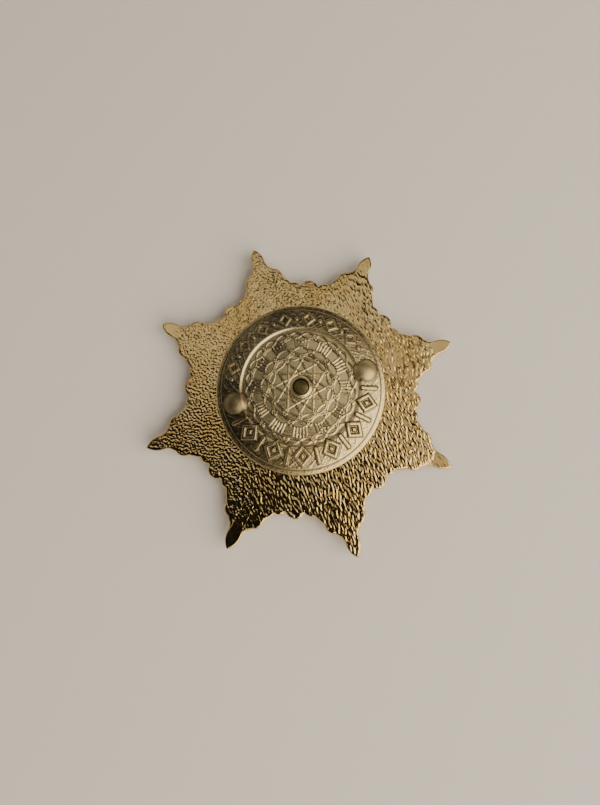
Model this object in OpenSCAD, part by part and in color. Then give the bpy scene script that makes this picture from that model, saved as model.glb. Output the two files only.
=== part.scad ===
// Screw-back breast badge: an eight-rayed star lying face down, its round clutch nut on the post.
// Millimetres, +Z up. The origin is the centre of the star, on the surface that the badge lies on.

/* [Star] */
// Distance from the centre to the point of a ray
ray_tip_r = 32; // [30:0.5:36]
// Thickness of the star's plate
plate_t = 1.6; // [1.2:0.1:2.4]
// Half of the width of a ray's leaf-shaped point
leaf_half_w = 1.4; // [1.2:0.05:1.6]
// Radius of the round lobe in each valley between two rays
valley_lobe_r = 1.85; // [1.5:0.05:2.1]
// Radius of the small scallop at each side of a ray's root
scallop_r = 1.3; // [1.1:0.05:1.5]
// Radius of the round shoulder at each side of a ray
shoulder_r = 1.84; // [1.6:0.02:2.0]

/* [Front boss] */
// Radius of the plain round boss on the front
boss_r = 14; // [11:0.5:18]
// How far the boss stands in front of the plate
boss_h = 2.0; // [1.5:0.1:3]
// Width of the bevel round the boss
boss_bevel = 0.8; // [0.3:0.1:1.2]

/* [Post] */
// Diameter of the threaded post, over the thread
post_d = 3.0; // [3:0.5:4]
// How far the post stands behind the plate
post_len = 3.5; // [3.1:0.1:6]
// Distance of the post above the star's centre
post_up = 1.0; // [0:0.1:2]

/* [Nut] */
// Radius of the nut over its rim
nut_r = 16.5; // [16:0.1:17]
// Thickness of the nut's sheet
nut_t = 0.9; // [0.7:0.1:1.1]
// Radius of the sunk field that carries the rosette
rosette_r = 11.3; // [11:0.1:11.5]
// Height of the nut's hub from end to end
hub_h = 3.0; // [2.8:0.1:3.4]
// Outer radius of the hub
hub_r = 3.0; // [2.6:0.1:3.6]
// Gap between the hub and the plate as the nut is left on the post
hub_gap = 0.6; // [0.1:0.1:2]
// Height of the two domed grips above the ring round the field
grip_h = 0.7; // [0.4:0.05:0.9]
// Radius of a grip at its foot
grip_r = 2.1; // [1.8:0.1:2.2]
// Turn of the nut about the post, in degrees
nut_turn = -5; // [-180:5:180]

/* [Relief] */
// Height of the rosette's lines above the nut's field
line_h = 0.1; // [0.05:0.01:0.2]
// Width of the rosette's lines
line_w = 0.26; // [0.2:0.02:0.32]
// Height of the frieze of lozenges, dots and bars
frieze_h = 0.28; // [0.1:0.02:0.3]

/* [Hidden] */
$fn = 96;
cut = 0.5;
// Depth by which raised lines are rooted in the face that they stand on
relief_root = 0.05;

rays = 8;
pitch = 360 / rays;

// Heights of the stack, from the surface that the boss rests on
plate_z = boss_h;
back_z = plate_z + plate_t;
nut_z = back_z + hub_gap;

// A ray's outline, measured along and across the ray
leaf_mid = ray_tip_r - 2.85;
leaf_half_l = ray_tip_r - leaf_mid;
leaf_r = (leaf_half_l * leaf_half_l + leaf_half_w * leaf_half_w) / (2 * leaf_half_w);
leaf_at = [leaf_mid, leaf_half_w - leaf_r];
leaf_tip_a = acos(leaf_half_l / leaf_r);
neck_at = [ray_tip_r - 4.3, leaf_half_w + 0.25];
shoulder_at = [ray_tip_r - 7.05, 2.15];
root_at = [22.9, 5.0];
scallop_a = 14.4;
scallop_at = 21.9 * [cos(scallop_a), sin(scallop_a)];
valley_a = pitch / 2;
valley_at = 21.7 * [cos(valley_a), sin(valley_a)];

function arc(centre, r, a0, a1, steps) = [
    for (i = [0 : steps]) let (a = a0 + (a1 - a0) * i / steps) centre + r * [cos(a), sin(a)]
];
function turned(p, a) = [p[0] * cos(a) - p[1] * sin(a), p[0] * sin(a) + p[1] * cos(a)];

// Half of a ray's outline, from its point to the middle of the valley beside it
half_ray = concat(
    arc(leaf_at, leaf_r, leaf_tip_a, 99, 7),
    [neck_at],
    arc(shoulder_at, shoulder_r, 12, 100, 6),
    [root_at],
    arc(scallop_at, scallop_r, scallop_a - 25, scallop_a + 60, 5),
    arc(valley_at, valley_lobe_r, valley_a - 70, valley_a, 4)
);
last = len(half_ray) - 1;

// The whole outline: each ray from valley to point on one side, and back on the other
star_points = [
    for (ray = [0 : rays - 1]) each concat(
        [for (i = [last : -1 : 0]) turned([half_ray[i][0], -half_ray[i][1]], ray * pitch)],
        [for (i = [1 : last - 1]) turned(half_ray[i], ray * pitch)]
    )
];

// The post's bore in the plate, and the nut's running bore
post_r = post_d / 2;
plate_bore_r = post_r + 0.03;
nut_bore_r = post_r + 0.05;
// Width and height of the bevel at the post's end
post_bevel = [0.25, 0.12];

// The nut's section, from its hub's lower end: a collar, a flat field, a ring that falls outwards, a flat rim
field_top = 2.6;
step_w = 0.5;
ring_in_r = rosette_r + step_w;
ring_out_r = nut_r - 1.1;
ring_in_z = field_top + 0.25;
ring_out_z = ring_in_z - 0.57;
rim_in_r = nut_r - 0.85;
rim_in_z = ring_out_z - 0.23;
rim_out_z = rim_in_z - 0.1;
rim_round = 0.3;
collar_in_r = nut_bore_r + 0.1;
collar_out_r = nut_bore_r + 0.55;
hub_skirt_r = hub_r + 0.6;

// The domed grips, pressed up from below
grip_at = 12.8;
grip_foot_z = ring_in_z + (ring_out_z - ring_in_z) * (grip_at - ring_in_r) / (ring_out_r - ring_in_r);
grip_ball_r = (grip_r * grip_r + grip_h * grip_h) / (2 * grip_h);
grip_ball_z = grip_foot_z + grip_h - grip_ball_r;
grip_wall = nut_t - 0.15;

// The rosette: twelve crossing chords, chains of lozenges and fives of bars between them
petals = 12;
petal_pitch = 360 / petals;
rosette_turn = 15;
chord_near = 2.45;
chord_half = 4.7;
inner_chain_at = 5.85;
inner_chain_half = 0.5;
middle_chain_at = 7.05;
middle_chain_half = 0.7;
bar_in = 7.7;
bar_out = 9.5;
bar_count = 5;
bar_step = 4;
outer_chain_at = 10.2;
outer_chain_half = 0.6;

// The frieze between the grips: small outlined lozenges with dots between them on the upper side, and on the
// lower side large outlined lozenges, each with a solid one inside, with radial bars between them
small_count = 7;
small_pitch = 20;
small_at = (ring_in_r + ring_out_r) / 2;
small_half = [1.45, 1.5];
small_stroke = 0.6;
dot_r = 0.42;
large_count = 6;
large_pitch = 25;
large_at = 13;
large_half = [2.15, 1.9];
large_stroke = 0.7;
core_half = [0.65, 0.5];
frieze_bar = [3.4, 0.8];
frieze_bar_at = 13.2;

module round_array(count, step, start = 0) {
    for (i = [0 : count - 1])
        rotate(start + i * step) children();
}

module star_plate() {
    color("goldenrod") difference() {
        translate([0, 0, plate_z]) linear_extrude(plate_t) polygon(star_points);
        translate([0, post_up, plate_z - cut]) cylinder(r = plate_bore_r, h = plate_t + 2 * cut);
    }
}

// The boss lies under the plate, and its post passes through the plate's bore
module boss_post() {
    color("darkgoldenrod") {
        rotate_extrude() polygon([
            [0, 0], [boss_r - boss_bevel, 0], [boss_r, boss_bevel], [boss_r, boss_h], [0, boss_h]
        ]);
        translate([0, post_up, 0]) rotate_extrude() polygon([
            [0, boss_h / 2],
            [post_r, boss_h / 2],
            [post_r, back_z + post_len - post_bevel[1]],
            [post_r - post_bevel[0], back_z + post_len],
            [0, back_z + post_len]
        ]);
    }
}

// Half of the nut's section, from its bore to its rim
module nut_section_2d() {
    polygon([
        [nut_bore_r, 0],
        [hub_r, 0],
        [hub_r, field_top - nut_t - 0.4],
        [hub_skirt_r, field_top - nut_t],
        [rosette_r, field_top - nut_t],
        [ring_in_r, ring_in_z - nut_t],
        [ring_out_r, ring_out_z - nut_t],
        [rim_in_r, rim_in_z - nut_t],
        [nut_r - rim_round, rim_out_z - nut_t],
        [nut_r, rim_out_z - nut_t + rim_round],
        [nut_r, rim_out_z - rim_round],
        [nut_r - rim_round, rim_out_z],
        [rim_in_r, rim_in_z],
        [ring_out_r, ring_out_z],
        [ring_in_r, ring_in_z],
        [rosette_r, field_top],
        [collar_out_r + 0.2, field_top],
        [collar_out_r, hub_h],
        [collar_in_r, hub_h],
        [nut_bore_r, hub_h - 0.15]
    ]);
}

// A layer on the ring's upper face, as thick as the frieze is high; it carries on inwards over the field
module ring_skin() {
    rotate_extrude() polygon([
        [outer_chain_at, field_top - relief_root],
        [rosette_r, field_top - relief_root],
        [ring_in_r, ring_in_z - relief_root],
        [ring_out_r, ring_out_z - relief_root],
        [ring_out_r, ring_out_z + frieze_h],
        [ring_in_r, ring_in_z + frieze_h],
        [outer_chain_at, ring_in_z + frieze_h]
    ]);
}

module rhombus_2d(half_l, half_w) {
    polygon([[half_l, 0], [0, half_w], [-half_l, 0], [0, -half_w]]);
}

// Copies on a circle of radius at, spread evenly about the direction side
module row_2d(side, count, pitch, at) {
    round_array(count, pitch, side - pitch * (count - 1) / 2)
        translate([at, 0]) children();
}

module outlined_rhombus_2d(half, stroke) {
    difference() {
        rhombus_2d(half[0], half[1]);
        rhombus_2d(half[0] - stroke, half[1] - stroke);
    }
}

module frieze_2d() {
    row_2d(90, small_count, small_pitch, small_at) outlined_rhombus_2d(small_half, small_stroke);
    row_2d(90, small_count + 1, small_pitch, small_at) circle(dot_r, $fn = 32);
    row_2d(270, large_count, large_pitch, large_at) {
        outlined_rhombus_2d(large_half, large_stroke);
        rhombus_2d(core_half[0], core_half[1]);
    }
    row_2d(270, large_count + 1, large_pitch, frieze_bar_at) square(frieze_bar, center = true);
}

// A closed chain of outlined lozenges, corner to corner on a circle of radius at
module chain_2d(count, at, half_l) {
    half_w = at * tan(180 / count);
    round_array(count, 360 / count) translate([at, 0]) difference() {
        rhombus_2d(half_l + line_w / 2, half_w * (half_l + line_w / 2) / half_l);
        rhombus_2d(half_l - line_w / 2, half_w * (half_l - line_w / 2) / half_l);
    }
}

module rosette_2d() {
    round_array(petals, petal_pitch) {
        translate([chord_near, 0]) square([line_w, 2 * chord_half], center = true);
        round_array(bar_count, bar_step, -bar_step * (bar_count - 1) / 2)
            translate([(bar_in + bar_out) / 2, 0]) square([bar_out - bar_in, line_w], center = true);
    }
    chain_2d(petals, inner_chain_at, inner_chain_half);
    rotate(petal_pitch / 2) chain_2d(petals, middle_chain_at, middle_chain_half);
    chain_2d(2 * petals, outer_chain_at, outer_chain_half);
}

module disc_nut() {
    color("darkkhaki") translate([0, post_up, nut_z]) rotate(nut_turn) {
        difference() {
            union() {
                rotate_extrude() nut_section_2d();
                // The upper faces of the grips
                round_array(2, 180) translate([grip_at, 0, 0]) intersection() {
                    translate([0, 0, grip_ball_z]) rotate([90, 0, 0]) sphere(grip_ball_r);
                    translate([0, 0, grip_foot_z - 0.7]) cylinder(r = grip_r + cut, h = 2 * grip_h);
                }
            }
            round_array(2, 180) translate([grip_at, 0, grip_ball_z])
                rotate([90, 0, 0]) sphere(grip_ball_r - grip_wall);
        }
        intersection() {
            ring_skin();
            linear_extrude(2 * hub_h) frieze_2d();
        }
        translate([0, 0, field_top - relief_root])
            linear_extrude(line_h + relief_root) rotate(rosette_turn) rosette_2d();
    }
}

star_plate();
boss_post();
disc_nut();
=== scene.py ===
"""Dresses a screw-back breast star: pebbled gilt star, front boss, threaded post and round clutch nut.

Everything is in metres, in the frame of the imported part: +Z out of the badge's back, and the origin on the
surface that the badge lies on. Each piece is a surface of rows and columns, worked out as whole arrays.
"""

import math
from collections import namedtuple

import bpy
import numpy as np
from bpy.props import FloatProperty, FloatVectorProperty, PointerProperty
from bpy.types import Operator, Panel, PropertyGroup
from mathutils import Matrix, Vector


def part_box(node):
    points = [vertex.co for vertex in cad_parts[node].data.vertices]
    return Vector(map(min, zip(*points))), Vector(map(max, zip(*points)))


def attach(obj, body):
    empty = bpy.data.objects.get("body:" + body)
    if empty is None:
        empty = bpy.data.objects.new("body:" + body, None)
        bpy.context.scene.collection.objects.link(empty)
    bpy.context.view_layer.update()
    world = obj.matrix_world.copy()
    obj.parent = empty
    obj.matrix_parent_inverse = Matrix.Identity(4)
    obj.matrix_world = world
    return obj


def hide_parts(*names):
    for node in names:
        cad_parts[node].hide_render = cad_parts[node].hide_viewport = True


bl_info = {
    "name": "Screw-Back Breast Star",
    "version": (1, 0, 0),
    "blender": (4, 5, 0),
    "location": "View3D > Sidebar > Badge",
    "description": "Builds the back of an eight-rayed breast star with its round clutch nut",
    "category": "Object",
}

MM = 0.001

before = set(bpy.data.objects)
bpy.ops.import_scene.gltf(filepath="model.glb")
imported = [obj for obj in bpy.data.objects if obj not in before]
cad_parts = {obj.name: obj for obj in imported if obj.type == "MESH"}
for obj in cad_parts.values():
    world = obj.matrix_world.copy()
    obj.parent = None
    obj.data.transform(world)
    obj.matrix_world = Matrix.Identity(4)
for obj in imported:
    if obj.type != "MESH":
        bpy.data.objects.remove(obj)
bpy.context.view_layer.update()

STAR_LOW, STAR_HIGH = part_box("star_plate")
_, POST_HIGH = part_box("boss_post")
NUT_LOW, NUT_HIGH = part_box("disc_nut")

RAYS = 8
# Where the post's axis stands on Y
POST_UP = (NUT_LOW.y + NUT_HIGH.y) / 2
# Edges that bend by more than this stay sharp
SHARP_ANGLE = math.radians(30)

# Kinds of shader nodes, and the numbers of the Mix node's sockets
ATTRIBUTE, BUMP, MAPPING = "ShaderNodeAttribute", "ShaderNodeBump", "ShaderNodeMapping"
MAP_RANGE, MATH, MIX = "ShaderNodeMapRange", "ShaderNodeMath", "ShaderNodeMix"
NOISE, VECTOR_MATH = "ShaderNodeTexNoise", "ShaderNodeVectorMath"
VALUE_A, VALUE_B = 2, 3
COLOUR_A, COLOUR_B, COLOUR_RESULT = 6, 7, 2


def linear(hex_colour):
    """The linear RGBA value of an sRGB hex colour."""
    srgb = np.array([int(hex_colour[i : i + 2], 16) / 255 for i in (0, 2, 4)])
    value = np.where(srgb <= 0.04045, srgb / 12.92, ((srgb + 0.055) / 1.055) ** 2.4)
    return (*(float(channel) for channel in value), 1.0)


def length(name, description, default, low, high):
    """A length property, in metres."""
    limits = {"default": default, "min": low, "max": high}
    return FloatProperty(name=name, description=description, unit="LENGTH", precision=6, **limits)


def colour(name, description, hex_colour):
    """A colour property, with its default as an sRGB hex value."""
    limits = {"default": linear(hex_colour), "min": 0, "max": 1}
    return FloatVectorProperty(name=name, description=description, size=4, subtype="COLOR", **limits)


class StarSettings(PropertyGroup):
    """Sizes and colours of the star"""

    tip_radius: length(
        "Tip radius", "Distance from the centre to a ray's point", STAR_HIGH.x, 30 * MM, 36 * MM
    )
    leaf_half_width: length(
        "Leaf half width", "Half of the width of a ray's leaf", 1.4 * MM, 1.2 * MM, 1.6 * MM
    )
    shoulder_radius: length(
        "Shoulder radius", "Radius of a ray's round shoulder", 1.84 * MM, 1.6 * MM, 2 * MM
    )
    scallop_radius: length(
        "Scallop radius", "Radius of the scallop at a ray's root", 1.3 * MM, 1.1 * MM, 1.5 * MM
    )
    lobe_radius: length(
        "Lobe radius", "Radius of the lobe between two rays", 1.85 * MM, 1.5 * MM, 2.1 * MM
    )
    edge_bevel: length(
        "Edge bevel", "Width of the rounding along the plate's edges", 0.22 * MM, 0.05 * MM, 0.4 * MM
    )
    bore_radius: length("Bore radius", "Radius of the post's bore", 1.53 * MM, 1.5 * MM, 1.6 * MM)
    pebble_pitch: length("Pebble pitch", "Distance from pebble to pebble", 0.66 * MM, 0.4 * MM, 1.2 * MM)
    pebble_height: length("Pebble height", "Height of the pebbles", 0.022 * MM, 0, 0.08 * MM)
    grain_depth: length("Grain depth", "Depth of the fine grain on the pebbles", 0.08 * MM, 0, 0.2 * MM)
    gilt_colour: colour("Gilt", "Colour of the gilding", "CFB780")
    worn_colour: colour("Worn gilt", "Colour of the gilding where it is thin", "C4A76C")
    # The pits' colour is grime and painted shade
    pit_grime_and_shade_colour: colour("Pits", "Colour of the grime in the pits", "4A3819")


class PostSettings(PropertyGroup):
    """Sizes and colours of the front boss and the post"""

    boss_radius: length("Boss radius", "Radius of the front boss", POST_HIGH.x, 11 * MM, 18 * MM)
    boss_bevel: length("Boss bevel", "Width of the bevel round the boss", 0.8 * MM, 0.3 * MM, 1.2 * MM)
    post_radius: length("Post radius", "Radius over the post's thread", 1.5 * MM, 1.5 * MM, 2 * MM)
    thread_pitch: length(
        "Thread pitch", "Distance from turn to turn of the thread", 0.5 * MM, 0.4 * MM, 0.7 * MM
    )
    thread_depth: length("Thread depth", "Depth of the thread", 0.27 * MM, 0.1 * MM, 0.4 * MM)
    brass_colour: colour("Brass", "Colour of the bare brass", "685F3E")
    dull_colour: colour("Dull brass", "Colour of the dulled brass", "4C452B")


class NutSettings(PropertyGroup):
    """Sizes and colours of the clutch nut"""

    turn: FloatProperty(
        name="Turn", description="Turn of the nut about the post", default=math.radians(-5), subtype="ANGLE"
    )
    sheet: length("Sheet", "Thickness of the nut's sheet", 0.9 * MM, 0.7 * MM, 1.1 * MM)
    line_height: length("Line height", "Height of the rosette's lines", 0.13 * MM, 0.05 * MM, 0.2 * MM)
    line_width: length("Line width", "Width of the rosette's lines", 0.3 * MM, 0.2 * MM, 0.4 * MM)
    frieze_height: length(
        "Frieze height", "Height of the frieze above the ring", 0.28 * MM, 0.1 * MM, 0.3 * MM
    )
    metal_colour: colour("Metal", "Colour of the struck sheet", "CBB98A")
    # The tarnish colour is also painted shade towards the upper left, and the grime colour is also painted
    # shade in the relief
    tarnish_and_shade_colour: colour("Tarnish", "Colour of its brownish tarnish", "6C6552")
    grime_and_shade_colour: colour("GrimeAndShade", "Colour of the grime in the relief", "3E3524")


class StudioSettings(PropertyGroup):
    """The floor, the lamps and the camera"""

    floor_colour: colour("Floor", "Colour of the floor and cove", "ECEAE6")
    room_colour: colour("Room", "Colour of the dim room beyond the lamps", "1C1C1F")
    floor_radius: length("Floor radius", "Radius of the level floor", 0.5, 0.2, 2)
    camera_height: length(
        "Camera height", "Height of the camera above the floor", 123.4 * MM, 80 * MM, 0.4
    )


def arc(centre, radius, first, last, steps):
    """Points at equal steps along a circle round centre, from the angle first to last in degrees."""
    angle = np.radians(np.linspace(first, last, steps + 1))
    return np.asarray(centre) + radius * np.stack([np.cos(angle), np.sin(angle)], axis=1)


def polar(radius, angle):
    """The point at a distance and an angle in degrees."""
    return radius * np.array([math.cos(math.radians(angle)), math.sin(math.radians(angle))])


def blend(a, b, t):
    """The points that lie the share t of the way from a to b."""
    return a + (b - a) * t


def smooth(low, high, value):
    """0 below low, 1 above high, and a cubic ease between them."""
    t = np.clip((value - low) / (high - low), 0, 1)
    return t * t * (3 - 2 * t)


def falloff(distance, width):
    """1 at no distance, falling as a bell: exp(-(distance / width) ** 2)."""
    return np.exp(-((distance / width) ** 2))


def grid_faces(rows, columns, closed):
    """Corner numbers of a grid's quads. Columns close on themselves, and rows do where closed is true."""
    strips = rows if closed else rows - 1
    row, column = np.meshgrid(np.arange(strips), np.arange(columns), indexing="ij")
    above, beside = (row + 1) % rows * columns, (column + 1) % columns
    row = row * columns
    return np.stack([row + column, row + beside, above + beside, above + column], axis=-1).reshape(-1, 4)


def cap_faces(rows, columns):
    """Triangles that close a grid's first and last rows at two points, which follow the grid's own."""
    column = np.arange(columns)
    beside = (column + 1) % columns
    last, low_pole = (rows - 1) * columns, rows * columns
    low = np.stack([np.full(columns, low_pole), beside, column], axis=1)
    high = np.stack([np.full(columns, low_pole + 1), last + column, last + beside], axis=1)
    return low.tolist() + high.tolist()


def add_piece(name, points, material, body, node, poles=None, marks=None):
    """Makes a piece from points[row, column], closed as a ring or at two poles, and hangs it on its body.
    Marks are named values of its points, which its material reads."""
    rows, columns = points.shape[:2]
    vertices = points.reshape(-1, 3)
    faces = grid_faces(rows, columns, closed=poles is None).tolist()
    if poles is not None:
        vertices = np.concatenate([vertices, np.asarray(poles)])
        faces += cap_faces(rows, columns)
    mesh = bpy.data.meshes.new(name)
    mesh.from_pydata(vertices.tolist(), [], faces)
    if mesh.validate():
        raise RuntimeError(f"{name}: the mesh had faulty faces")
    mesh.shade_smooth()
    mesh.set_sharp_from_angle(angle=SHARP_ANGLE)
    for mark, values in (marks or {}).items():
        attribute = mesh.attributes.new(mark, "FLOAT", "POINT")
        attribute.data.foreach_set("value", values.ravel().astype(np.float32))
    mesh.materials.append(material)
    piece = bpy.data.objects.new(name, mesh)
    bpy.context.scene.collection.objects.link(piece)
    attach(piece, body)
    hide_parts(node)


def revolve(profile, columns):
    """Points of a profile of radius and height, carried round the Z axis."""
    angle = np.linspace(0, 2 * np.pi, columns, endpoint=False)
    radius, height = np.asarray(profile)[:, :1], np.asarray(profile)[:, 1:]
    return np.stack([radius * np.cos(angle), radius * np.sin(angle), height + 0 * angle], axis=-1)


def turned(points, angle, centre):
    """Points turned about Z by an angle in radians, then moved by centre."""
    cosine, sine = math.cos(angle), math.sin(angle)
    turn = np.array([[cosine, sine, 0], [-sine, cosine, 0], [0, 0, 1]])
    return points @ turn + np.asarray(centre)


def add_node(tree, kind, inputs=(), output=0, **settings):
    """Adds a node with its settings, gives each of its inputs, in order or by its key, a value or a link,
    and returns one of its outputs."""
    node = tree.nodes.new(kind)
    for key, value in settings.items():
        setattr(node, key, value)
    for key, value in inputs.items() if isinstance(inputs, dict) else enumerate(inputs):
        if isinstance(value, bpy.types.NodeSocket):
            tree.links.new(value, node.inputs[key])
        else:
            node.inputs[key].default_value = value
    return node.outputs[output]


def new_material(name):
    """A material with a Principled shader, its node tree, the shader and the object's own coordinates."""
    material = bpy.data.materials.new(name)
    material.use_nodes = True
    tree = material.node_tree
    place = add_node(tree, "ShaderNodeTexCoord", output="Object")
    return material, tree, tree.nodes["Principled BSDF"], place


def finish_metal(tree, shader, base, rough, normal):
    """Makes the shader a metal with this colour, roughness and normal."""
    shader.inputs["Metallic"].default_value = 1
    tree.links.new(base, shader.inputs["Base Color"])
    tree.links.new(rough, shader.inputs["Roughness"])
    tree.links.new(normal, shader.inputs["Normal"])


# The band, along this direction, in which the star's grain goes over from round to drawn out
CROSSING_WAY = (0.8, -0.7)
CROSSING_BAND = (-14 * MM, 4 * MM)
# The drawn-out grain's lean
GRAIN_LEAN = math.radians(-6)
# The grain grows deeper along this direction, so far each way, between these shares of its depth
LIVELY_WAY = (0.94, -0.34)
LIVELY_REACH = 20 * MM
QUIET, LOUD = 0.72, 1.22


def cast_gilt_brass(star):
    """Cast brass, gilt: a warm mirror with a fine grain on its pebbles, round towards the upper left and
    drawn out towards the lower right, and dark pits that grow sparse the same way. The pits and the
    pebbles' low places are coloured with grime and painted shade. The leaves that were filed smooth have
    hardly any of either."""
    material, tree, shader, place = new_material("cast_gilt_brass")
    hollow = add_node(tree, ATTRIBUTE, output="Fac", attribute_name="hollow")
    grained = add_node(tree, ATTRIBUTE, output="Fac", attribute_name="grained")
    crossing = add_node(tree, VECTOR_MATH, (place, (*CROSSING_WAY, 0)), "Value", operation="DOT_PRODUCT")
    lively = add_node(tree, VECTOR_MATH, (place, (*LIVELY_WAY, 0)), "Value", operation="DOT_PRODUCT")
    lively = add_node(tree, MAP_RANGE, (lively, -LIVELY_REACH, LIVELY_REACH, QUIET, LOUD))

    # The fine grain is about half as wide as a pebble, and its two kinds cross over as the pebbles' do
    scale = 1 / (0.55 * star.pebble_pitch)
    drawn = {"Vector": place, "Rotation": (0, 0, GRAIN_LEAN), "Scale": (1, 0.42, 1)}
    drawn = add_node(tree, MAPPING, drawn)
    round_grain = add_node(tree, NOISE, {"Vector": place, "Scale": scale, "Detail": 0})
    long_grain = add_node(tree, NOISE, {"Vector": drawn, "Scale": scale, "Detail": 0})
    crossed = add_node(tree, MAP_RANGE, (crossing, *CROSSING_BAND, 0, 1))
    grain = add_node(tree, MIX, {"Factor": crossed, VALUE_A: round_grain, VALUE_B: long_grain})
    # The mean of both kinds is flatter than either, so its contrast is raised, most of all halfway
    halfway_gain, middle = 1.66, 0.5
    rest = add_node(tree, MATH, (1, crossed), operation="SUBTRACT")
    rest = add_node(tree, MATH, (rest, crossed), operation="MULTIPLY")
    gain = add_node(tree, MATH, (rest, halfway_gain, 1), operation="MULTIPLY_ADD")
    grain = add_node(tree, MATH, (grain, middle), operation="SUBTRACT")
    grain = add_node(tree, MATH, (grain, gain, middle), operation="MULTIPLY_ADD")
    height = add_node(tree, MATH, (grained, lively), operation="MULTIPLY")
    height = add_node(tree, MATH, (grain, height), operation="MULTIPLY")

    # Pits are the grain's lowest places, darkened with grime and painted shade
    pits = add_node(tree, MAP_RANGE, (grain, 0.35, 0.25, 0, 1))
    sparse = add_node(tree, MAP_RANGE, (crossing, -14 * MM, 10 * MM, 1, 0.3))
    pits = add_node(tree, MATH, (pits, sparse), operation="MULTIPLY")
    pits = add_node(tree, MATH, (pits, grained), operation="MULTIPLY")
    pits = add_node(tree, MAP_RANGE, (pits, 0.2, 1, 0, 0.6))
    patches = add_node(tree, NOISE, {"Vector": place, "Scale": 1 / (7 * MM)})
    patches = add_node(tree, MAP_RANGE, (patches, 0.35, 0.65, 0, 1))
    # The pebbles' hollows are darkened with grime and painted shade
    hollow = add_node(tree, MAP_RANGE, (hollow, 0.45, 1, 0, 0.3))
    base = star.gilt_colour
    for share, tint in ((patches, star.worn_colour), (pits, star.pit_grime_and_shade_colour), (hollow, star.pit_grime_and_shade_colour)):
        layer = {"Factor": share, COLOUR_A: base, COLOUR_B: tint}
        base = add_node(tree, MIX, layer, COLOUR_RESULT, data_type="RGBA")
    rough = add_node(tree, NOISE, {"Vector": place, "Scale": 1 / (0.9 * MM)})
    rough = add_node(tree, MAP_RANGE, (rough, 0.3, 0.7, 0.08, 0.15))
    normal = add_node(tree, BUMP, {"Height": height, "Distance": star.grain_depth})
    finish_metal(tree, shader, base, rough, normal)
    return material


def plain_brass(post):
    """Turned brass left bare: dull olive patches, and a faint roughness of 0.1 mm from the lathe."""
    material, tree, shader, place = new_material("plain_turned_brass")
    patches = add_node(tree, NOISE, {"Vector": place, "Scale": 1 / (1.5 * MM), "Detail": 4})
    patches = add_node(tree, MAP_RANGE, (patches, 0.35, 0.65, 0, 1))
    base = {"Factor": patches, COLOUR_A: post.brass_colour, COLOUR_B: post.dull_colour}
    base = add_node(tree, MIX, base, COLOUR_RESULT, data_type="RGBA")
    rough = add_node(tree, NOISE, {"Vector": place, "Scale": 1 / (0.5 * MM)})
    rough = add_node(tree, MAP_RANGE, (rough, 0.3, 0.7, 0.3, 0.48))
    marks = add_node(tree, NOISE, {"Vector": place, "Scale": 1 / (0.1 * MM)})
    normal = add_node(tree, BUMP, {"Height": marks, "Distance": 0.01 * MM})
    finish_metal(tree, shader, base, rough, normal)
    return material


def struck_nickel_silver(nut):
    """Nickel silver struck in a die and handled for years: satin, with a brownish tarnish in patches that is
    laid on as painted shade, deeper towards the upper left; bare metal where it is worn, which is also a
    painted highlight on the step, the rim and the frieze's tops; and grime and painted shade in the relief.
    The grips are duller."""
    material, tree, shader, place = new_material("struck_nickel_silver")
    hollow = add_node(tree, ATTRIBUTE, output="Fac", attribute_name="hollow")
    domed = add_node(tree, ATTRIBUTE, output="Fac", attribute_name="domed")
    bare = add_node(tree, ATTRIBUTE, output="Fac", attribute_name="bare")
    # Painted shade: the tarnish colour grows thicker towards the upper left, and the noise patches vary it
    # as real tarnish
    lower_right = (0.7, -0.7, 0)
    tarnish_and_shade = add_node(tree, VECTOR_MATH, (place, lower_right), "Value", operation="DOT_PRODUCT")
    tarnish_and_shade = add_node(tree, MAP_RANGE, (tarnish_and_shade, -8 * MM, 4 * MM, 1, 0.1))
    patches = add_node(tree, NOISE, {"Vector": place, "Scale": 1 / (5 * MM), "Detail": 5})
    patches = add_node(tree, MAP_RANGE, (patches, 0.35, 0.68, 0.6, 1))
    tarnish_and_shade = add_node(tree, MATH, (tarnish_and_shade, patches), operation="MULTIPLY")
    # Bare metal where it is worn, which is also a painted highlight on the step, the rim and the frieze's
    # tops
    bare = add_node(tree, MAP_RANGE, (bare, 0, 1, 0, 0.9))
    dull = add_node(tree, MAP_RANGE, (domed, 0, 1, 0, 0.25))
    # Grime and painted shade at the feet of the relief
    grime_and_shade = add_node(tree, MAP_RANGE, (hollow, 0, 1, 0, 0.85))
    base, metal, grime_and_shade_tint = nut.metal_colour, nut.metal_colour, nut.grime_and_shade_colour
    for share, tint in ((tarnish_and_shade, nut.tarnish_and_shade_colour), (bare, metal), (dull, grime_and_shade_tint), (grime_and_shade, grime_and_shade_tint)):
        layer = {"Factor": share, COLOUR_A: base, COLOUR_B: tint}
        base = add_node(tree, MIX, layer, COLOUR_RESULT, data_type="RGBA")
    rough = add_node(tree, NOISE, {"Vector": place, "Scale": 1 / (0.8 * MM), "Detail": 4})
    rough = add_node(tree, MAP_RANGE, (rough, 0.3, 0.7, 0.21, 0.32))
    domed_roughness = 0.17
    rough = add_node(tree, MATH, (domed, domed_roughness, rough), operation="MULTIPLY_ADD")
    coarse = add_node(tree, NOISE, {"Vector": place, "Scale": 1 / (0.6 * MM)})
    fine = add_node(tree, NOISE, {"Vector": place, "Scale": 1 / (0.3 * MM)})
    normal = add_node(tree, BUMP, {"Height": coarse, "Distance": 0.025 * MM})
    normal = add_node(tree, BUMP, {"Height": fine, "Distance": 0.014 * MM, "Normal": normal})
    finish_metal(tree, shader, base, rough, normal)
    return material


def matt_floor(studio):
    """Matt painted board: pale and even, with no gloss."""
    material, _, shader, _ = new_material("matt_floor")
    shader.inputs["Base Color"].default_value = studio.floor_colour
    shader.inputs["Roughness"].default_value = 0.9
    shader.inputs["Specular IOR Level"].default_value = 0.2
    return material


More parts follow.
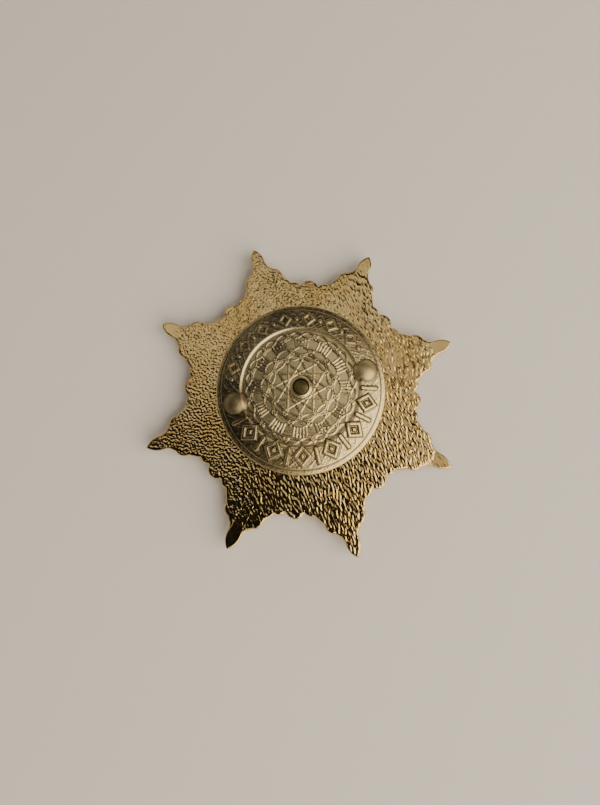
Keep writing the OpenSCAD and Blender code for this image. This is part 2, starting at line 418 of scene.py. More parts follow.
# A ray's leaf narrows to its point over this length
LEAF_LENGTH = 2.85 * MM
# A point of the neck: so far back from the ray's point, and so much wider than the leaf
NECK_BACK, NECK_FLARE = 4.3 * MM, 0.25 * MM
# The centre of the shoulder's arc, back from the point and to the ray's side
SHOULDER_BACK, SHOULDER_SIDE = 7.05 * MM, 2.15 * MM
# Where the shoulder ends at the ray's foot, along the ray and to its side
FOOT_ALONG, FOOT_SIDE = 22.9 * MM, 5 * MM
# The centres of the scallop's arc and of the valley's lobe: distance from the star's centre, and degrees
SCALLOP_AT, SCALLOP_ANGLE = 21.9 * MM, 14.4
LOBE_AT, VALLEY_ANGLE = 21.7 * MM, 180 / RAYS

# The star's grid: columns for half a ray, rows of the visible back, and the few rows that the nut covers
HALF_RAY_COLUMNS = 68
OUTER_ROWS = 74
INNER_ROWS = 8
COVERED_RADIUS = 15.5 * MM
# The rows that round the back's edge, in degrees of its quarter turn
EDGE_TURNS = (90, 68, 45, 22)
# The plate is plain inside the first radius from the post, and pebbled outside the second
PLAIN_ROUND_POST = (3.5 * MM, 5 * MM)
# How smooth each ray's leaf was filed, from the ray on +X round the star; the leaves at 0 carry the grain
LEAF_SMOOTHNESS = np.array([1, 1, 0, 0.6, 0, 1, 0, 1])


def half_ray_outline(star):
    """Half of a ray's outline from its point to the valley, with X along the ray: the leaf's side, an arc
    through its point and its widest place; a straight neck; then the arcs of a shoulder, a scallop and the
    valley's lobe."""
    tip, half_width = star.tip_radius, star.leaf_half_width
    leaf_radius = (LEAF_LENGTH**2 + half_width**2) / (2 * half_width)
    leaf_centre = (tip - LEAF_LENGTH, half_width - leaf_radius)
    point_angle = math.degrees(math.acos(LEAF_LENGTH / leaf_radius))
    shoulder_centre = (tip - SHOULDER_BACK, SHOULDER_SIDE)
    scallop_centre, lobe_centre = polar(SCALLOP_AT, SCALLOP_ANGLE), polar(LOBE_AT, VALLEY_ANGLE)
    leaf = arc(leaf_centre, leaf_radius, first=point_angle, last=99, steps=24)
    neck = [(tip - NECK_BACK, half_width + NECK_FLARE)]
    shoulder = arc(shoulder_centre, star.shoulder_radius, first=12, last=100, steps=18)
    foot = [(FOOT_ALONG, FOOT_SIDE)]
    scallop = arc(scallop_centre, star.scallop_radius, SCALLOP_ANGLE - 25, SCALLOP_ANGLE + 60, steps=16)
    lobe = arc(lobe_centre, star.lobe_radius, first=VALLEY_ANGLE - 70, last=VALLEY_ANGLE, steps=16)
    return np.concatenate([leaf, neck, shoulder, foot, scallop, lobe])


def star_outline(star):
    """Each column's angle, its point on the star's outline and the outline's outward direction there.

    The columns take equal steps in the mean of the angle and the length along the outline, so that the
    nearly radial sides of the leaves and the round valleys both get enough of them.
    """
    outline = half_ray_outline(star)
    angle, radius = np.arctan2(outline[:, 1], outline[:, 0]), np.hypot(outline[:, 0], outline[:, 1])
    along = np.concatenate([[0], np.cumsum(np.hypot(*np.diff(outline, axis=0).T))])
    share = (angle / angle[-1] + along / along[-1]) / 2
    side = np.interp(np.linspace(0, 1, HALF_RAY_COLUMNS + 1), share, angle)
    ray = np.concatenate([-side[:0:-1], side[:-1]])
    angles = (np.arange(RAYS)[:, None] * 2 * np.pi / RAYS + ray).ravel()
    distance = np.tile(np.interp(abs(ray), angle, radius), RAYS)
    points = distance[:, None] * np.stack([np.cos(angles), np.sin(angles)], axis=1)
    step = np.roll(points, -1, axis=0) - np.roll(points, 1, axis=0)
    outward = np.stack([step[:, 1], -step[:, 0]], axis=1) / np.hypot(step[:, 0], step[:, 1])[:, None]
    return angles, points, outward


def wave_field(x, y, pitch, stretch, lean, seed, count=80):
    """An even, grainy field of unit spread: the sum of cosine waves with lengths near pitch and chance
    directions and phases. Along Y, leant by an angle in radians, the waves are stretched."""
    # The waves' lengths lie between these shares of the pitch
    shortest, longest = 0.75, 1.35
    chance = np.random.default_rng(seed)
    heading, phase = chance.uniform(0, 2 * np.pi, (2, count))
    number = 2 * np.pi / (pitch * chance.uniform(shortest, longest, count))
    across, down = np.cos(heading) * number, np.sin(heading) * number / stretch
    wave_x = across * math.cos(lean) - down * math.sin(lean)
    wave_y = across * math.sin(lean) + down * math.cos(lean)
    waves = np.cos(np.outer(x, wave_x) + np.outer(y, wave_y) + phase)
    return (waves.sum(axis=1) * math.sqrt(2 / count)).reshape(x.shape)


def pebbles(star, x, y):
    """The grain of the cast back, from about -1 in a pit to 1 on a pebble: round grains towards the upper
    left, and grains drawn out along the upper ray's line towards the lower right, both pressed flat at
    their tops. It is the tanh of a wave field, made a little steeper and fuller, and it grows deeper along
    LIVELY_WAY."""
    stretch, steepness, fullness = 2.4, 1.1, 0.15
    round_grain = wave_field(x, y, star.pebble_pitch, 1, 0, seed=11)
    long_grain = wave_field(x, y, star.pebble_pitch, stretch, GRAIN_LEAN, seed=12)
    crossed = smooth(*CROSSING_BAND, x * CROSSING_WAY[0] + y * CROSSING_WAY[1])
    grain = blend(round_grain, long_grain, crossed) / np.hypot(crossed, 1 - crossed)
    along = x * LIVELY_WAY[0] + y * LIVELY_WAY[1]
    lively = np.interp(along, [-LIVELY_REACH, LIVELY_REACH], [QUIET, LOUD])
    return lively * np.tanh(steepness * grain + fullness)


def leaf_smoothness(star, x, y):
    """Up to 1 on the leaves that were filed smooth, and 0 on the rest of the back: the nearest ray's value,
    fading in from the leaf's neck towards its middle."""
    fade_start, fade_end = star.tip_radius - 5 * MM, star.tip_radius - 3.6 * MM
    nearest_ray = np.round(np.arctan2(y, x) * RAYS / (2 * np.pi)).astype(int) % RAYS
    on_leaf = smooth(fade_start, fade_end, np.hypot(x, y))
    return LEAF_SMOOTHNESS[nearest_ray] * on_leaf


def star_grid(star):
    """Rows of the star's surface, and how hollow and how grained each point is. They run out over the plain
    front, up the edge with its rounding, in over the pebbled back, and close through the bore."""
    angles, outline, outward = star_outline(star)
    circle = np.stack([np.cos(angles), np.sin(angles)], axis=1)
    bore = star.bore_radius * circle + (0, POST_UP)
    covered = COVERED_RADIUS * circle
    inset = outline - star.edge_bevel * outward
    low, high, bevel = STAR_LOW.z, STAR_HIGH.z, star.edge_bevel
    edge = [(bore, low), (covered, low), (inset, low), (outline, low + bevel)]
    for turn in np.radians(EDGE_TURNS):
        row = outline - bevel * (1 - math.sin(turn)) * outward
        edge.append((row, high - bevel * (1 - math.cos(turn))))
    back = [blend(inset, covered, t) for t in np.linspace(0, 1, OUTER_ROWS)]
    back += [blend(covered, bore, t) for t in np.linspace(0, 1, INNER_ROWS + 1)[1:]]
    flat = np.array([row for row, height in edge] + back)
    height = np.full(flat.shape[:2], high)
    height[: len(edge)] = np.array([z for row, z in edge])[:, None]

    x, y = flat[len(edge) :, :, 0], flat[len(edge) :, :, 1]
    grain = pebbles(star, x, y)
    to_edge = np.hypot(*(flat[len(edge) :] - outline).transpose(2, 0, 1))
    # The grain is weak at the very edge, nearly filed off on a smooth leaf, and gone round the post
    at_edge, edge_width, filed_off = 0.3, 0.6 * MM, 0.85
    strength = blend(at_edge, 1, smooth(0, edge_width, to_edge))
    strength = strength * (1 - filed_off * leaf_smoothness(star, x, y))
    strength = strength * smooth(*PLAIN_ROUND_POST, np.hypot(x, y - POST_UP))
    height[len(edge) :] += star.pebble_height * grain * strength
    hollow, grained = np.zeros(flat.shape[:2]), np.zeros(flat.shape[:2])
    # How hollow each point is; its material darkens the hollows with grime and painted shade
    hollow[len(edge) :] = np.clip(-grain, 0, 1) * strength
    grained[len(edge) :] = strength
    return np.concatenate([flat, height[:, :, None]], axis=2), {"hollow": hollow, "grained": grained}


class BADGE_OT_star(Operator):
    """Makes the star: leaf-pointed rays, scalloped valleys and a pebbled back"""

    bl_idname = "badge.make_star"
    bl_label = "Make the Star"

    def execute(self, context):
        star = context.scene.badge_star
        gilt = cast_gilt_brass(star)
        points, marks = star_grid(star)
        add_piece("star_back", points, gilt, "star", "star_plate", marks=marks)
        return {"FINISHED"}


BOSS_COLUMNS = 128
THREAD_COLUMNS = 96
THREAD_ROWS_PER_TURN = 14
# The thread starts inside the plate
THREAD_START = STAR_HIGH.z - 1 * MM


def thread_grid(post):
    """Rows of the threaded post: its radius falls and rises as a rounded V once per pitch of height, and
    the V climbs by one pitch for each turn about Z. The last rows round in to the plain end."""
    top, rounding = POST_HIGH.z, 0.28 * MM
    # The V is cut a little steeper than the pitch asks, which leaves a flat crest and a flat valley
    steepness, crest = 1.25, 0.15
    thread_end, plain_start = top - 0.5 * MM, top - 0.3 * MM
    rows = int((top - THREAD_START) / post.thread_pitch * THREAD_ROWS_PER_TURN)
    height = np.linspace(THREAD_START, top, rows)[:, None]
    angle = np.linspace(0, 2 * np.pi, THREAD_COLUMNS, endpoint=False)
    turn = (height - THREAD_START) / post.thread_pitch - angle / (2 * np.pi)
    run_out = 1 - smooth(thread_end, plain_start, height)
    valley = np.clip(steepness * abs(2 * (turn % 1) - 1) - crest, 0, 1) * run_out
    radius = post.post_radius - post.thread_depth * valley
    radius = radius - rounding * (1 - np.sqrt(np.clip(2 * (top - height) / rounding, 0, 1)))
    return np.stack([radius * np.cos(angle), POST_UP + radius * np.sin(angle), height + 0 * angle], axis=-1)


class BADGE_OT_post(Operator):
    """Makes the plain boss on the front and the threaded post that is soldered to it"""

    bl_idname = "badge.make_post"
    bl_label = "Make the Boss and Post"

    def execute(self, context):
        post = context.scene.badge_post
        brass = plain_brass(post)
        radius, bevel, top = post.boss_radius, post.boss_bevel, STAR_LOW.z
        face = radius - bevel
        inner = face - 1 * MM
        profile = [(inner, 0), (face, 0), (radius, bevel), (radius, top)]
        boss, poles = revolve(profile, BOSS_COLUMNS), [(0, 0, 0), (0, 0, top)]
        add_piece("front_boss", boss, brass, "star", "boss_post", poles)
        thread, poles = thread_grid(post), [(0, POST_UP, THREAD_START), (0, POST_UP, POST_HIGH.z)]
        add_piece("threaded_post", thread, brass, "star", "boss_post", poles)
        return {"FINISHED"}


FIELD_COLUMNS, FIELD_ROWS = 800, 115
RING_COLUMNS, RING_ROWS = 960, 62
EDGE_ROWS, UNDER_ROWS = 7, 14
HUB_COLUMNS = 144
# The nut's section, from its hub's lower end: a field, a step up to a ring that falls outwards, and a rim
SHEET_INNER = 2.15 * MM
FIELD_TOP, FIELD_RADIUS, FIELD_DOME = 2.6 * MM, 11.3 * MM, 0.2 * MM
RING_IN, RING_IN_TOP = 11.8 * MM, 2.85 * MM
RING_OUT, RING_OUT_TOP = 15.4 * MM, 2.28 * MM
RIM_IN, RIM_IN_TOP = 15.65 * MM, 2.05 * MM
RIM_OUT, RIM_OUT_TOP = 16.2 * MM, 1.95 * MM
# The radius of the rim's round edge
RIM_EDGE = 0.3 * MM
# The rows of the ring's underside lie between these radii
UNDER_OUT, UNDER_IN = 15.2 * MM, 11.9 * MM
# The field and the ring reach this far into each other at the step, and so far down
LAP, LAP_DEPTH = 0.05 * MM, 0.3 * MM
# The grips: two parts of balls on the ring, so far from the axis, so wide and so high
GRIP_AT, GRIP_RADIUS, GRIP_HEIGHT = 12.8 * MM, 2.1 * MM, 0.7 * MM
# The hub's section, row by row: radius and height in millimetres, and the share of grime and painted
# shade. It runs from the bore's mouth over the collar's lip to a flange under the sheet, then down the hub
# and in to the bore's foot
HUB_SECTION = (
    (1.55, 2.8, 1),
    (1.58, 2.93, 1),
    (1.63, 2.99, 0.7),
    (1.7, 3, 0),
    (1.8, 2.97, 0),
    (1.92, 2.89, 0),
    (2.04, 2.79, 0),
    (2.12, 2.73, 0),
    (2.22, 2.7, 0.5),
    (2.3, 2.66, 0.6),
    (2.3, 2.2, 0),
    (3.6, 1.9, 0),
    (3.6, 1.7, 0),
    (3, 1.3, 0),
    (3, 0.2, 0),
    (2.8, 0, 0),
    (1.7, 0, 0),
    (1.55, 0.15, 1),
)

# The rosette repeats this often, and is turned on the nut by this angle in degrees
PETALS = 12
ROSETTE_TURN = 15
# How wide a line's bell is, as a share of the line's width
LINE_SPREAD = 0.42
# The twelve chords: their distance from the centre, and half of their length
CHORD_AT, CHORD_HALF_LENGTH = 2.45 * MM, 4.7 * MM
# The chains, each a pair of crossing waves, and the rows of small loops, with a loop to each petal
Chain = namedtuple("Chain", "at swing eyes shift")
CHAINS = (
    Chain(at=5.85 * MM, swing=0.5 * MM, eyes=PETALS, shift=0),
    Chain(at=7.05 * MM, swing=0.75 * MM, eyes=PETALS, shift=math.pi / 2),
    Chain(at=10.2 * MM, swing=0.55 * MM, eyes=2 * PETALS, shift=0),
)
Loops = namedtuple("Loops", "at radius first strength")
LOOPS = (
    Loops(at=5.85 * MM, radius=0.36 * MM, first=0, strength=1),
    Loops(at=7.05 * MM, radius=0.45 * MM, first=180 / PETALS, strength=0.8),
    Loops(at=10.2 * MM, radius=0.42 * MM, first=180 / PETALS, strength=1),
)
# The fives of radial bars, with their angles off the petal's middle in degrees, and the scallops
BAR_AT, BAR_HALF_LENGTH, BAR_ANGLES = 8.6 * MM, 0.9 * MM, (-8, -4, 0, 4, 8)
SCALLOP_IN, SCALLOP_DEPTH, SCALLOP_STRENGTH = 8.75 * MM, 0.85 * MM, 0.8
# The field's relief ends between these radii
ROSETTE_END = (11 * MM, 11.2 * MM)

# The net on the ring: the lines that lean one way, and how far out a line leans by one spacing
NET_LINES, NET_LEAN = 48, 1.6 * MM
# A line's width as a share of the spacing, and its height as a share of the rosette's lines
NET_WIDTH, NET_HEIGHT = 0.09, 0.22
# The radii between which the net rises, and between which it ends
NET_START, NET_END = (RING_IN, RING_IN + 0.2 * MM), (15 * MM, 15.3 * MM)

# The frieze's lozenges: half a length along the radius, half a width and the stroke
Lozenge = namedtuple("Lozenge", "half_length half_width stroke")
SMALL_LOZENGE = Lozenge(half_length=1.45 * MM, half_width=1.5 * MM, stroke=0.6 * MM)
LARGE_LOZENGE = Lozenge(half_length=2.15 * MM, half_width=1.9 * MM, stroke=0.7 * MM)
CORE_LOZENGE = Lozenge(half_length=0.65 * MM, half_width=0.5 * MM, stroke=0.5 * MM)
# Each row: its shapes, their step and the middle one's angle in degrees, and how far out they lie
Row = namedtuple("Row", "count step middle at")
UPPER_ROW = Row(count=15, step=10, middle=90, at=(RING_IN + RING_OUT) / 2)
LOWER_ROW = Row(count=13, step=12.5, middle=270, at=13 * MM)
DOT_RADIUS = 0.42 * MM
STROKE_AT, STROKE_HALF_LENGTH, STROKE_HALF_WIDTH = 13.2 * MM, 1.3 * MM, 0.4 * MM
# A shape of the frieze slopes down from so far inside its edge to so far outside it
FRIEZE_SLOPE = (-0.2 * MM, 0.12 * MM)

# Grime and painted shade at the foot of each form: how dark it is, and how wide it spreads
GrimeAndShade = namedtuple("GrimeAndShade", "share width")
STEP_GRIME_AND_SHADE = GrimeAndShade(share=0.6, width=0.2 * MM)
GROOVE_GRIME_AND_SHADE = GrimeAndShade(share=0.9, width=0.16 * MM)
GRIP_GRIME_AND_SHADE = GrimeAndShade(share=0.85, width=0.2 * MM)
FRIEZE_GRIME_AND_SHADE = GrimeAndShade(share=0.85, width=0.17 * MM)
LINE_GRIME_AND_SHADE = 2.2
# Wear and painted highlight: half the width of the step's bright band, the share on the frieze's top, and
# the rim's inner fade
STEP_WEAR_AND_HIGHLIGHT, FRIEZE_WEAR_AND_HIGHLIGHT, RIM_WEAR_AND_HIGHLIGHT = 0.2 * MM, 0.45, 0.2 * MM


def face_profile(radius):
    """Height of the nut's plain face: a field that is domed a little, a straight step up to the ring, the
    ring's fall outwards, and a rounded step down to the flat rim."""
    step = np.clip((radius - FIELD_RADIUS) / (RING_IN - FIELD_RADIUS), 0, 1)
    field = FIELD_TOP + FIELD_DOME * (0.5 - np.minimum(radius / FIELD_RADIUS, 1) ** 2)
    ring = RING_IN_TOP + (RING_OUT_TOP - RING_IN_TOP) * (radius - RING_IN) / (RING_OUT - RING_IN)
    rim = RIM_IN_TOP + (RIM_OUT_TOP - RIM_IN_TOP) * (radius - RIM_IN) / (RIM_OUT - RIM_IN)
    face = blend(field, ring, step)
    return blend(face, rim, smooth(RING_OUT, RIM_IN, radius))


def ball(x, y, shrink):
    """Height of the upper side of the ball that forms the nearer grip, its radius less by shrink."""
    foot = RING_IN_TOP + (RING_OUT_TOP - RING_IN_TOP) * (GRIP_AT - RING_IN) / (RING_OUT - RING_IN)
    radius = (GRIP_RADIUS**2 + GRIP_HEIGHT**2) / (2 * GRIP_HEIGHT)
    inside = (radius - shrink) ** 2 - (abs(x) - GRIP_AT) ** 2 - y**2
    return foot + GRIP_HEIGHT - radius + np.sqrt(np.clip(inside, 0, None))


def soft_max(a, b, width):
    """The higher of two heights, with the corner between them rounded over width."""
    share = np.clip(0.5 + (b - a) / (2 * width), 0, 1)
    return blend(a, b, share) + width * share * (1 - share)


def nearest(radius, angle, count, start=0):
    """Places along and across the nearest of count directions, the first of them at start in degrees."""
    step = 2 * np.pi / count
    turn = (angle - math.radians(start) + step / 2) % step - step / 2
    return radius * np.cos(turn), radius * np.sin(turn)


def rosette(nut, radius, angle):
    """The rosette's lines, from 0 to 1: crossing chords, chains of eyes, rows of loops, fives of bars and
    scallops. Each chain is a pair of crossing waves round the centre, and each line's height falls off with
    the distance from its middle."""
    spread = LINE_SPREAD * nut.line_width
    lines = []
    for turn in np.arange(PETALS) * 2 * np.pi / PETALS:
        along, across = radius * np.cos(angle - turn), radius * np.sin(angle - turn)
        past_end = np.maximum(abs(across) - CHORD_HALF_LENGTH, 0)
        lines.append(falloff(np.hypot(along - CHORD_AT, past_end), spread))
    for chain in CHAINS:
        phase = chain.eyes / 2 * angle + chain.shift
        swung = chain.swing * np.sin(phase)
        slope = chain.swing * chain.eyes / 2 * np.cos(phase) / chain.at
        away = np.minimum(abs(radius - chain.at - swung), abs(radius - chain.at + swung))
        lines.append(falloff(away / np.sqrt(1 + slope**2), spread))
    for loops in LOOPS:
        along, across = nearest(radius, angle, PETALS, loops.first)
        away = abs(np.hypot(along - loops.at, across) - loops.radius)
        lines.append(loops.strength * falloff(away, spread))
    for bar_angle in BAR_ANGLES:
        along, across = nearest(radius, angle, PETALS, bar_angle)
        past_end = np.maximum(abs(along - BAR_AT) - BAR_HALF_LENGTH, 0)
        lines.append(falloff(np.hypot(past_end, across), spread))
    scallop = SCALLOP_IN + SCALLOP_DEPTH * abs(np.sin(PETALS / 2 * angle))
    lines.append(SCALLOP_STRENGTH * falloff(radius - scallop, spread))
    return np.max(lines, axis=0) * (1 - smooth(*ROSETTE_END, radius))


def ring_net(radius, angle):
    """The fine net on the ring, from 0 to 1: two families of lines that lean opposite ways."""
    phase, lean = angle * NET_LINES / (2 * np.pi), (radius - RING_IN) / NET_LEAN
    lines = [falloff((phase + way * lean + 0.5) % 1 - 0.5, NET_WIDTH) for way in (1, -1)]
    return np.max(lines, axis=0) * smooth(*NET_START, radius) * (1 - smooth(*NET_END, radius))


def frieze(radius, angle):
    """Distance from the edge of the nearest shape of the raised frieze, less than 0 inside it: small
    outlined lozenges and dots on the upper side, large outlined lozenges with a solid one inside and radial
    bars on the lower side."""

    def places(row):
        """Each shape's number, and the places along and across its own direction."""
        for number in range(row.count):
            turn = angle - math.radians(row.middle + row.step * (number - (row.count - 1) / 2))
            yield number, radius * np.cos(turn), radius * np.sin(turn)

    def outlined(along, across, at, shape):
        """Distance from a lozenge's outline, which lies inside its sides."""
        reach = abs(along - at) / shape.half_length + abs(across) / shape.half_width
        side = math.hypot(shape.half_length, shape.half_width)
        away = (reach - 1) * shape.half_length * shape.half_width / side
        return abs(away + shape.stroke / 2) - shape.stroke / 2

    shapes = []
    for number, along, across in places(UPPER_ROW):
        if number % 2:
            shapes.append(outlined(along, across, UPPER_ROW.at, SMALL_LOZENGE))
        else:
            shapes.append(np.hypot(along - UPPER_ROW.at, across) - DOT_RADIUS)
    for number, along, across in places(LOWER_ROW):
        if number % 2:
            shapes.append(outlined(along, across, LOWER_ROW.at, LARGE_LOZENGE))
            shapes.append(outlined(along, across, LOWER_ROW.at, CORE_LOZENGE))
        else:
            past_end = np.maximum(abs(along - STROKE_AT) - STROKE_HALF_LENGTH, 0)
            shapes.append(np.hypot(past_end, across) - STROKE_HALF_WIDTH)
    return np.min(shapes, axis=0)


def nut_face(nut, radius, angle):
    """Height of the nut's face, and how hollow, domed and bare it is: the plain profile with the raised
    rosette, net, frieze and ball-shaped grips. Hollow, and darkened with grime and painted shade, are the
    step's foot, the groove inside the rim and the feet of lines, frieze and grips. Bare, where it is worn
    and where a painted highlight lightens it, are the step, the rim and partly the frieze's top."""
    x, y = radius * np.cos(angle), radius * np.sin(angle)
    away = frieze(radius, angle)
    raised = 1 - smooth(*FRIEZE_SLOPE, away)
    lines = rosette(nut, radius, angle - math.radians(ROSETTE_TURN))
    relief = np.maximum(lines, NET_HEIGHT * ring_net(radius, angle))
    top = np.interp(radius, [RING_IN, RING_OUT], [RING_IN_TOP, RING_OUT_TOP]) + nut.frieze_height
    surface = blend(face_profile(radius) + nut.line_height * relief, top, raised)
    grip = ball(x, y, 0)

    # Grime and painted shade at the feet of the forms
    step_foot = STEP_GRIME_AND_SHADE.share * falloff(radius - FIELD_RADIUS, STEP_GRIME_AND_SHADE.width)
    groove = GROOVE_GRIME_AND_SHADE.share * falloff(radius - RIM_IN, GROOVE_GRIME_AND_SHADE.width)
    grip_foot = GRIP_GRIME_AND_SHADE.share * falloff(grip - surface, GRIP_GRIME_AND_SHADE.width)
    frieze_foot = FRIEZE_GRIME_AND_SHADE.share * falloff(away - FRIEZE_SLOPE[1] / 2, FRIEZE_GRIME_AND_SHADE.width)
    line_foot = LINE_GRIME_AND_SHADE * lines * (1 - lines) ** 2
    low = np.max([np.maximum(step_foot, groove) * (1 - raised), frieze_foot, line_foot], axis=0)
    hollow = np.maximum(np.where(grip > surface, 0, low), grip_foot)

    # Bare where worn, and also a painted highlight: a band on the step, the frieze's tops and the rim
    off_step = radius - (FIELD_RADIUS + RING_IN) / 2
    bare = np.exp(-((off_step / STEP_WEAR_AND_HIGHLIGHT) ** 4)) * (1 - raised)
    bare = bare + FRIEZE_WEAR_AND_HIGHLIGHT * raised + smooth(RIM_IN, RIM_IN + RIM_WEAR_AND_HIGHLIGHT, radius)
    blur, fillet = 0.05 * MM, 0.04 * MM
    domed = smooth(-blur, blur, grip - surface)
    return soft_max(surface, grip, fillet), hollow, domed, bare


def nut_rows(nut, radii, heights, columns, face):
    """Rows of a part of the nut at the given radii, and the marks of each point: the rows in face lie on
    the nut's face, and the rest at the given heights, raised by the hollow undersides of the grips. The
    rows come back reversed, so that the faces look outward."""
    radius = np.asarray(radii)[:, None]
    angle = np.linspace(0, 2 * np.pi, columns, endpoint=False)
    x, y = radius * np.cos(angle), radius * np.sin(angle)
    # The sheet is a little thinner where it is drawn into a grip
    drawn_thin = 0.15 * MM
    underside = np.where(radius < RIM_IN, ball(x, y, nut.sheet - drawn_thin), 0)
    height = np.maximum(np.asarray(heights)[:, None], underside)
    # The rim is bare: worn, and lightened as a painted highlight
    marks = {"hollow": 0 * x, "domed": 0 * x, "bare": np.where(radius > RIM_IN, 1.0, 0 * x)}
    height[face], *values = nut_face(nut, radius[face], angle)
    for name, value in zip(marks, values):
        marks[name][face] = value
        marks[name] = marks[name][::-1]
    return np.stack([x, y, height], axis=-1)[::-1], marks


def field_grid(nut):
    """The field: its face from the hub to the step, down it and round a corner, then its underside back."""
    under, corner_in, corner_up = FIELD_TOP - nut.sheet, 0.3 * MM, 0.2 * MM
    step = FIELD_RADIUS + LAP
    face = np.linspace(SHEET_INNER, FIELD_RADIUS, FIELD_ROWS)
    radii = [*face, step, step, FIELD_RADIUS - corner_in, SHEET_INNER]
    heights = [*[0] * FIELD_ROWS, FIELD_TOP - LAP_DEPTH, under + corner_up, under, under]
    return nut_rows(nut, radii, heights, FIELD_COLUMNS, slice(0, FIELD_ROWS))


def ring_grid(nut):
    """The ring and the rim: the face outwards from the step, the round edge, and the underside back."""
    face = np.linspace(FIELD_RADIUS, RIM_OUT, RING_ROWS)
    upper_centre, lower_centre = RIM_OUT_TOP - RIM_EDGE, RIM_OUT_TOP - nut.sheet + RIM_EDGE
    upper = arc((RIM_OUT, upper_centre), RIM_EDGE, first=75, last=0, steps=EDGE_ROWS)
    lower = arc((RIM_OUT, lower_centre), RIM_EDGE, first=0, last=-90, steps=EDGE_ROWS)
    edge = np.concatenate([upper, lower])
    under = np.array([RIM_IN, RING_OUT, *np.linspace(UNDER_OUT, UNDER_IN, UNDER_ROWS), FIELD_RADIUS])
    corners = [FIELD_RADIUS, RING_IN, RING_OUT, RIM_IN]
    tops = [FIELD_TOP, RING_IN_TOP, RING_OUT_TOP, RIM_IN_TOP]
    under_height = np.interp(under, corners, tops) - nut.sheet
    radii = [FIELD_RADIUS - LAP, *face, *edge[:, 0], *under]
    heights = [FIELD_TOP - LAP_DEPTH, *[0] * RING_ROWS, *edge[:, 1], *under_height]
    return nut_rows(nut, radii, heights, RING_COLUMNS, slice(1, RING_ROWS + 1))


def hub_grid():
    """The hub: its section carried round the post's axis, with grime and painted shade in the bore and at
    the collar.
    """
    section = np.array(HUB_SECTION[::-1])
    points = revolve(section[:, :2] * MM, HUB_COLUMNS)
    return points, {"hollow": section[:, 2:] + np.zeros(HUB_COLUMNS)}


class BADGE_OT_nut(Operator):
    """Makes the clutch nut: the field with its rosette, the ring with its rim, and the hub"""

    bl_idname = "badge.make_nut"
    bl_label = "Make the Clutch Nut"

    def execute(self, context):
        nut = context.scene.badge_nut
        metal = struck_nickel_silver(nut)
        grids = {
            "clutch_nut_field": field_grid(nut),
            "clutch_nut_ring": ring_grid(nut),
            "clutch_nut_hub": hub_grid(),
        }
        for name, (points, marks) in grids.items():
            points = turned(points, nut.turn, (0, POST_UP, NUT_LOW.z))
            add_piece(name, points, metal, "nut", "disc_nut", marks=marks)
        return {"FINISHED"}


FLOOR_COLUMNS = 96
# The floor's cove: its radius, and the height of the wall above it
COVE_RADIUS, COVE_TOP = 0.3, 0.5

# The lamps stand in a frame that is turned from +X by this angle
LAMP_TURN = math.radians(52)
# Each lamp: its size; its place towards that direction, to the left of it, and up; its power in watts; its
# colour; and whether it faces straight down
Lamp = namedtuple("Lamp", "name size place power tint down")
LAMPS = (
    Lamp("left_overhead_lamp", (0.22, 0.25), (0.12, 0.125, 0.5), 0.16, "FFF6E6", down=True),
    Lamp("right_overhead_lamp", (0.22, 0.195), (0.12, -0.0975, 0.5), 0.108, "FFF6E6", down=True),
    Lamp("side_lamp", (0.7, 0.6), (-0.1, -0.39, 0.39), 4.9, "FFF0DA", down=False),
    Lamp("left_fill", (0.6, 0.3), (0.1, 0.5, 0.32), 0.2, "FFF6E6", down=False),
    Lamp("upper_fill", (0.6, 0.2), (0.6, 0, 0.14), 0.25, "FFF6EA", down=False),
    Lamp("lower_fill", (0.6, 0.2), (-0.6, 0, 0.14), 0.13, "FFF6EA", down=False),
)

# The photo's size, optical axis and focal length in pixels. It is a crop, so the axis lies off its middle
PHOTO_WIDTH, PHOTO_HEIGHT = 600, 805
AXIS_X, AXIS_Y = 309.93, 298.69
FOCAL_LENGTH = 600
# The camera's sensor, in millimetres
SENSOR_WIDTH = 36
# The camera's place beside the origin and its turn in radians, as the star's points in the photo give them
CAMERA_X, CAMERA_Y = -3.73 * MM, -12.67 * MM
CAMERA_TURN = (0.26657, -0.0072, -0.3317)


def add_lamp(entry):
    """A soft rectangular lamp that faces the badge, or straight down, turned with the lamps' frame."""
    lamp = bpy.data.lights.new(entry.name, "AREA")
    lamp.shape = "RECTANGLE"
    lamp.size, lamp.size_y = entry.size
    lamp.energy = entry.power
    lamp.color = linear(entry.tint)[:3]
    towards, beside, height = entry.place
    along, across = math.cos(LAMP_TURN), math.sin(LAMP_TURN)
    x, y = towards * along - beside * across, towards * across + beside * along
    holder = bpy.data.objects.new(entry.name, lamp)
    holder.location = (x, y, height)
    tilt = math.atan2(math.hypot(x, y), height)
    holder.rotation_euler = (0, 0, LAMP_TURN) if entry.down else (tilt, 0, math.atan2(x, -y))
    bpy.context.scene.collection.objects.link(holder)


def add_floor(studio):
    """A level disc that turns up into a round cove, closed by a small plate in its middle."""
    radius, plate_radius, near_radius = studio.floor_radius, 0.02, 0.1
    cove = arc((radius, COVE_RADIUS), COVE_RADIUS, first=-90, last=0, steps=16)
    top = (radius + COVE_RADIUS, COVE_TOP)
    rows = revolve([(plate_radius, 0), (near_radius, 0), *cove, top], FLOOR_COLUMNS)
    middle = list(range(FLOOR_COLUMNS - 1, -1, -1))
    faces = [*grid_faces(len(rows), FLOOR_COLUMNS, closed=False).tolist(), middle]
    mesh = bpy.data.meshes.new("floor")
    mesh.from_pydata(rows.reshape(-1, 3).tolist(), [], [face[::-1] for face in faces])
    mesh.shade_smooth()
    mesh.materials.append(matt_floor(studio))
    floor = bpy.data.objects.new("floor", mesh)
    bpy.context.scene.collection.objects.link(floor)


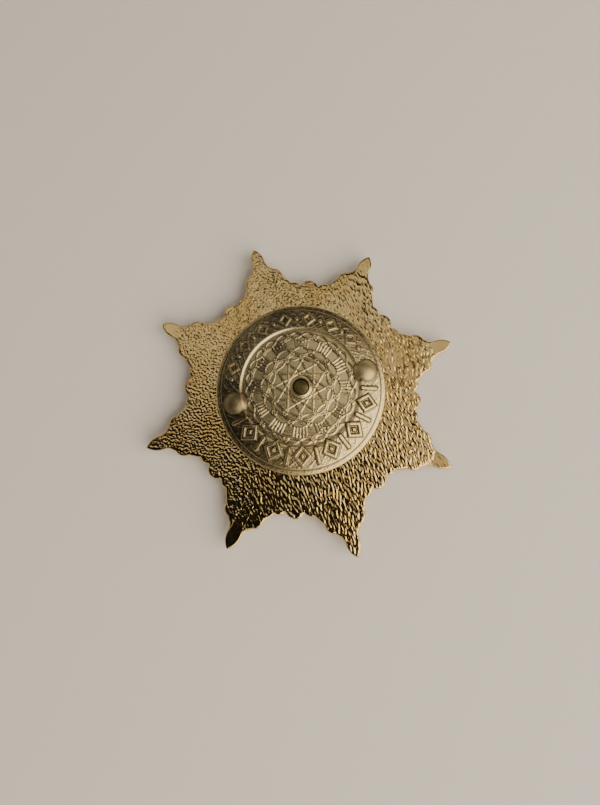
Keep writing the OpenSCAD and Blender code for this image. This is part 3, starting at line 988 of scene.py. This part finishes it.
def add_camera(studio):
    """A camera at the photo's angle, shifted as the photo is cropped."""
    camera = bpy.data.cameras.new("camera")
    # Blender takes the lens and the shift by the picture's longer side, which is its height
    camera.sensor_width, camera.lens = SENSOR_WIDTH, SENSOR_WIDTH * FOCAL_LENGTH / PHOTO_HEIGHT
    camera.shift_x = (PHOTO_WIDTH / 2 - AXIS_X) / PHOTO_HEIGHT
    camera.shift_y = (AXIS_Y - PHOTO_HEIGHT / 2) / PHOTO_HEIGHT
    camera.clip_start, camera.clip_end = 10 * MM, 5
    holder = bpy.data.objects.new("camera", camera)
    holder.location = (CAMERA_X, CAMERA_Y, studio.camera_height)
    holder.rotation_euler = CAMERA_TURN
    bpy.context.scene.collection.objects.link(holder)
    bpy.context.scene.camera = holder


class BADGE_OT_studio(Operator):
    """Makes the stage: a pale floor with a cove, soft lamps and the camera"""

    bl_idname = "badge.make_studio"
    bl_label = "Make the Studio"

    def execute(self, context):
        studio = context.scene.badge_studio
        add_floor(studio)
        for entry in LAMPS:
            add_lamp(entry)
        world = bpy.data.worlds.new("dim_room")
        world.use_nodes = True
        background = world.node_tree.nodes["Background"]
        background.inputs["Color"].default_value = studio.room_colour
        context.scene.world = world
        add_camera(studio)
        return {"FINISHED"}


SETTINGS = {
    "badge_star": StarSettings,
    "badge_post": PostSettings,
    "badge_nut": NutSettings,
    "badge_studio": StudioSettings,
}
OPERATORS = (BADGE_OT_star, BADGE_OT_post, BADGE_OT_nut, BADGE_OT_studio)


class BADGE_PT_panel(Panel):
    """Lists the badge's sizes, colours and the buttons that make its pieces"""

    bl_idname = "BADGE_PT_panel"
    bl_label = "Breast Star"
    bl_space_type = "VIEW_3D"
    bl_region_type = "UI"
    bl_category = "Badge"

    def draw(self, context):
        for name, operator in zip(SETTINGS, OPERATORS):
            box = self.layout.box()
            settings = getattr(context.scene, name)
            for key in SETTINGS[name].__annotations__:
                box.prop(settings, key)
            box.operator(operator.bl_idname)


CLASSES = (*SETTINGS.values(), *OPERATORS, BADGE_PT_panel)


def register():
    """Registers the classes and hangs the settings on the scene."""
    for entry in CLASSES:
        bpy.utils.register_class(entry)
    for name, settings in SETTINGS.items():
        setattr(bpy.types.Scene, name, PointerProperty(type=settings))


def unregister():
    """Undoes register."""
    for name in SETTINGS:
        delattr(bpy.types.Scene, name)
    for entry in reversed(CLASSES):
        bpy.utils.unregister_class(entry)


def main():
    register()
    bpy.ops.badge.make_star()
    bpy.ops.badge.make_post()
    bpy.ops.badge.make_nut()
    bpy.ops.badge.make_studio()


if __name__ == "__main__":
    main()
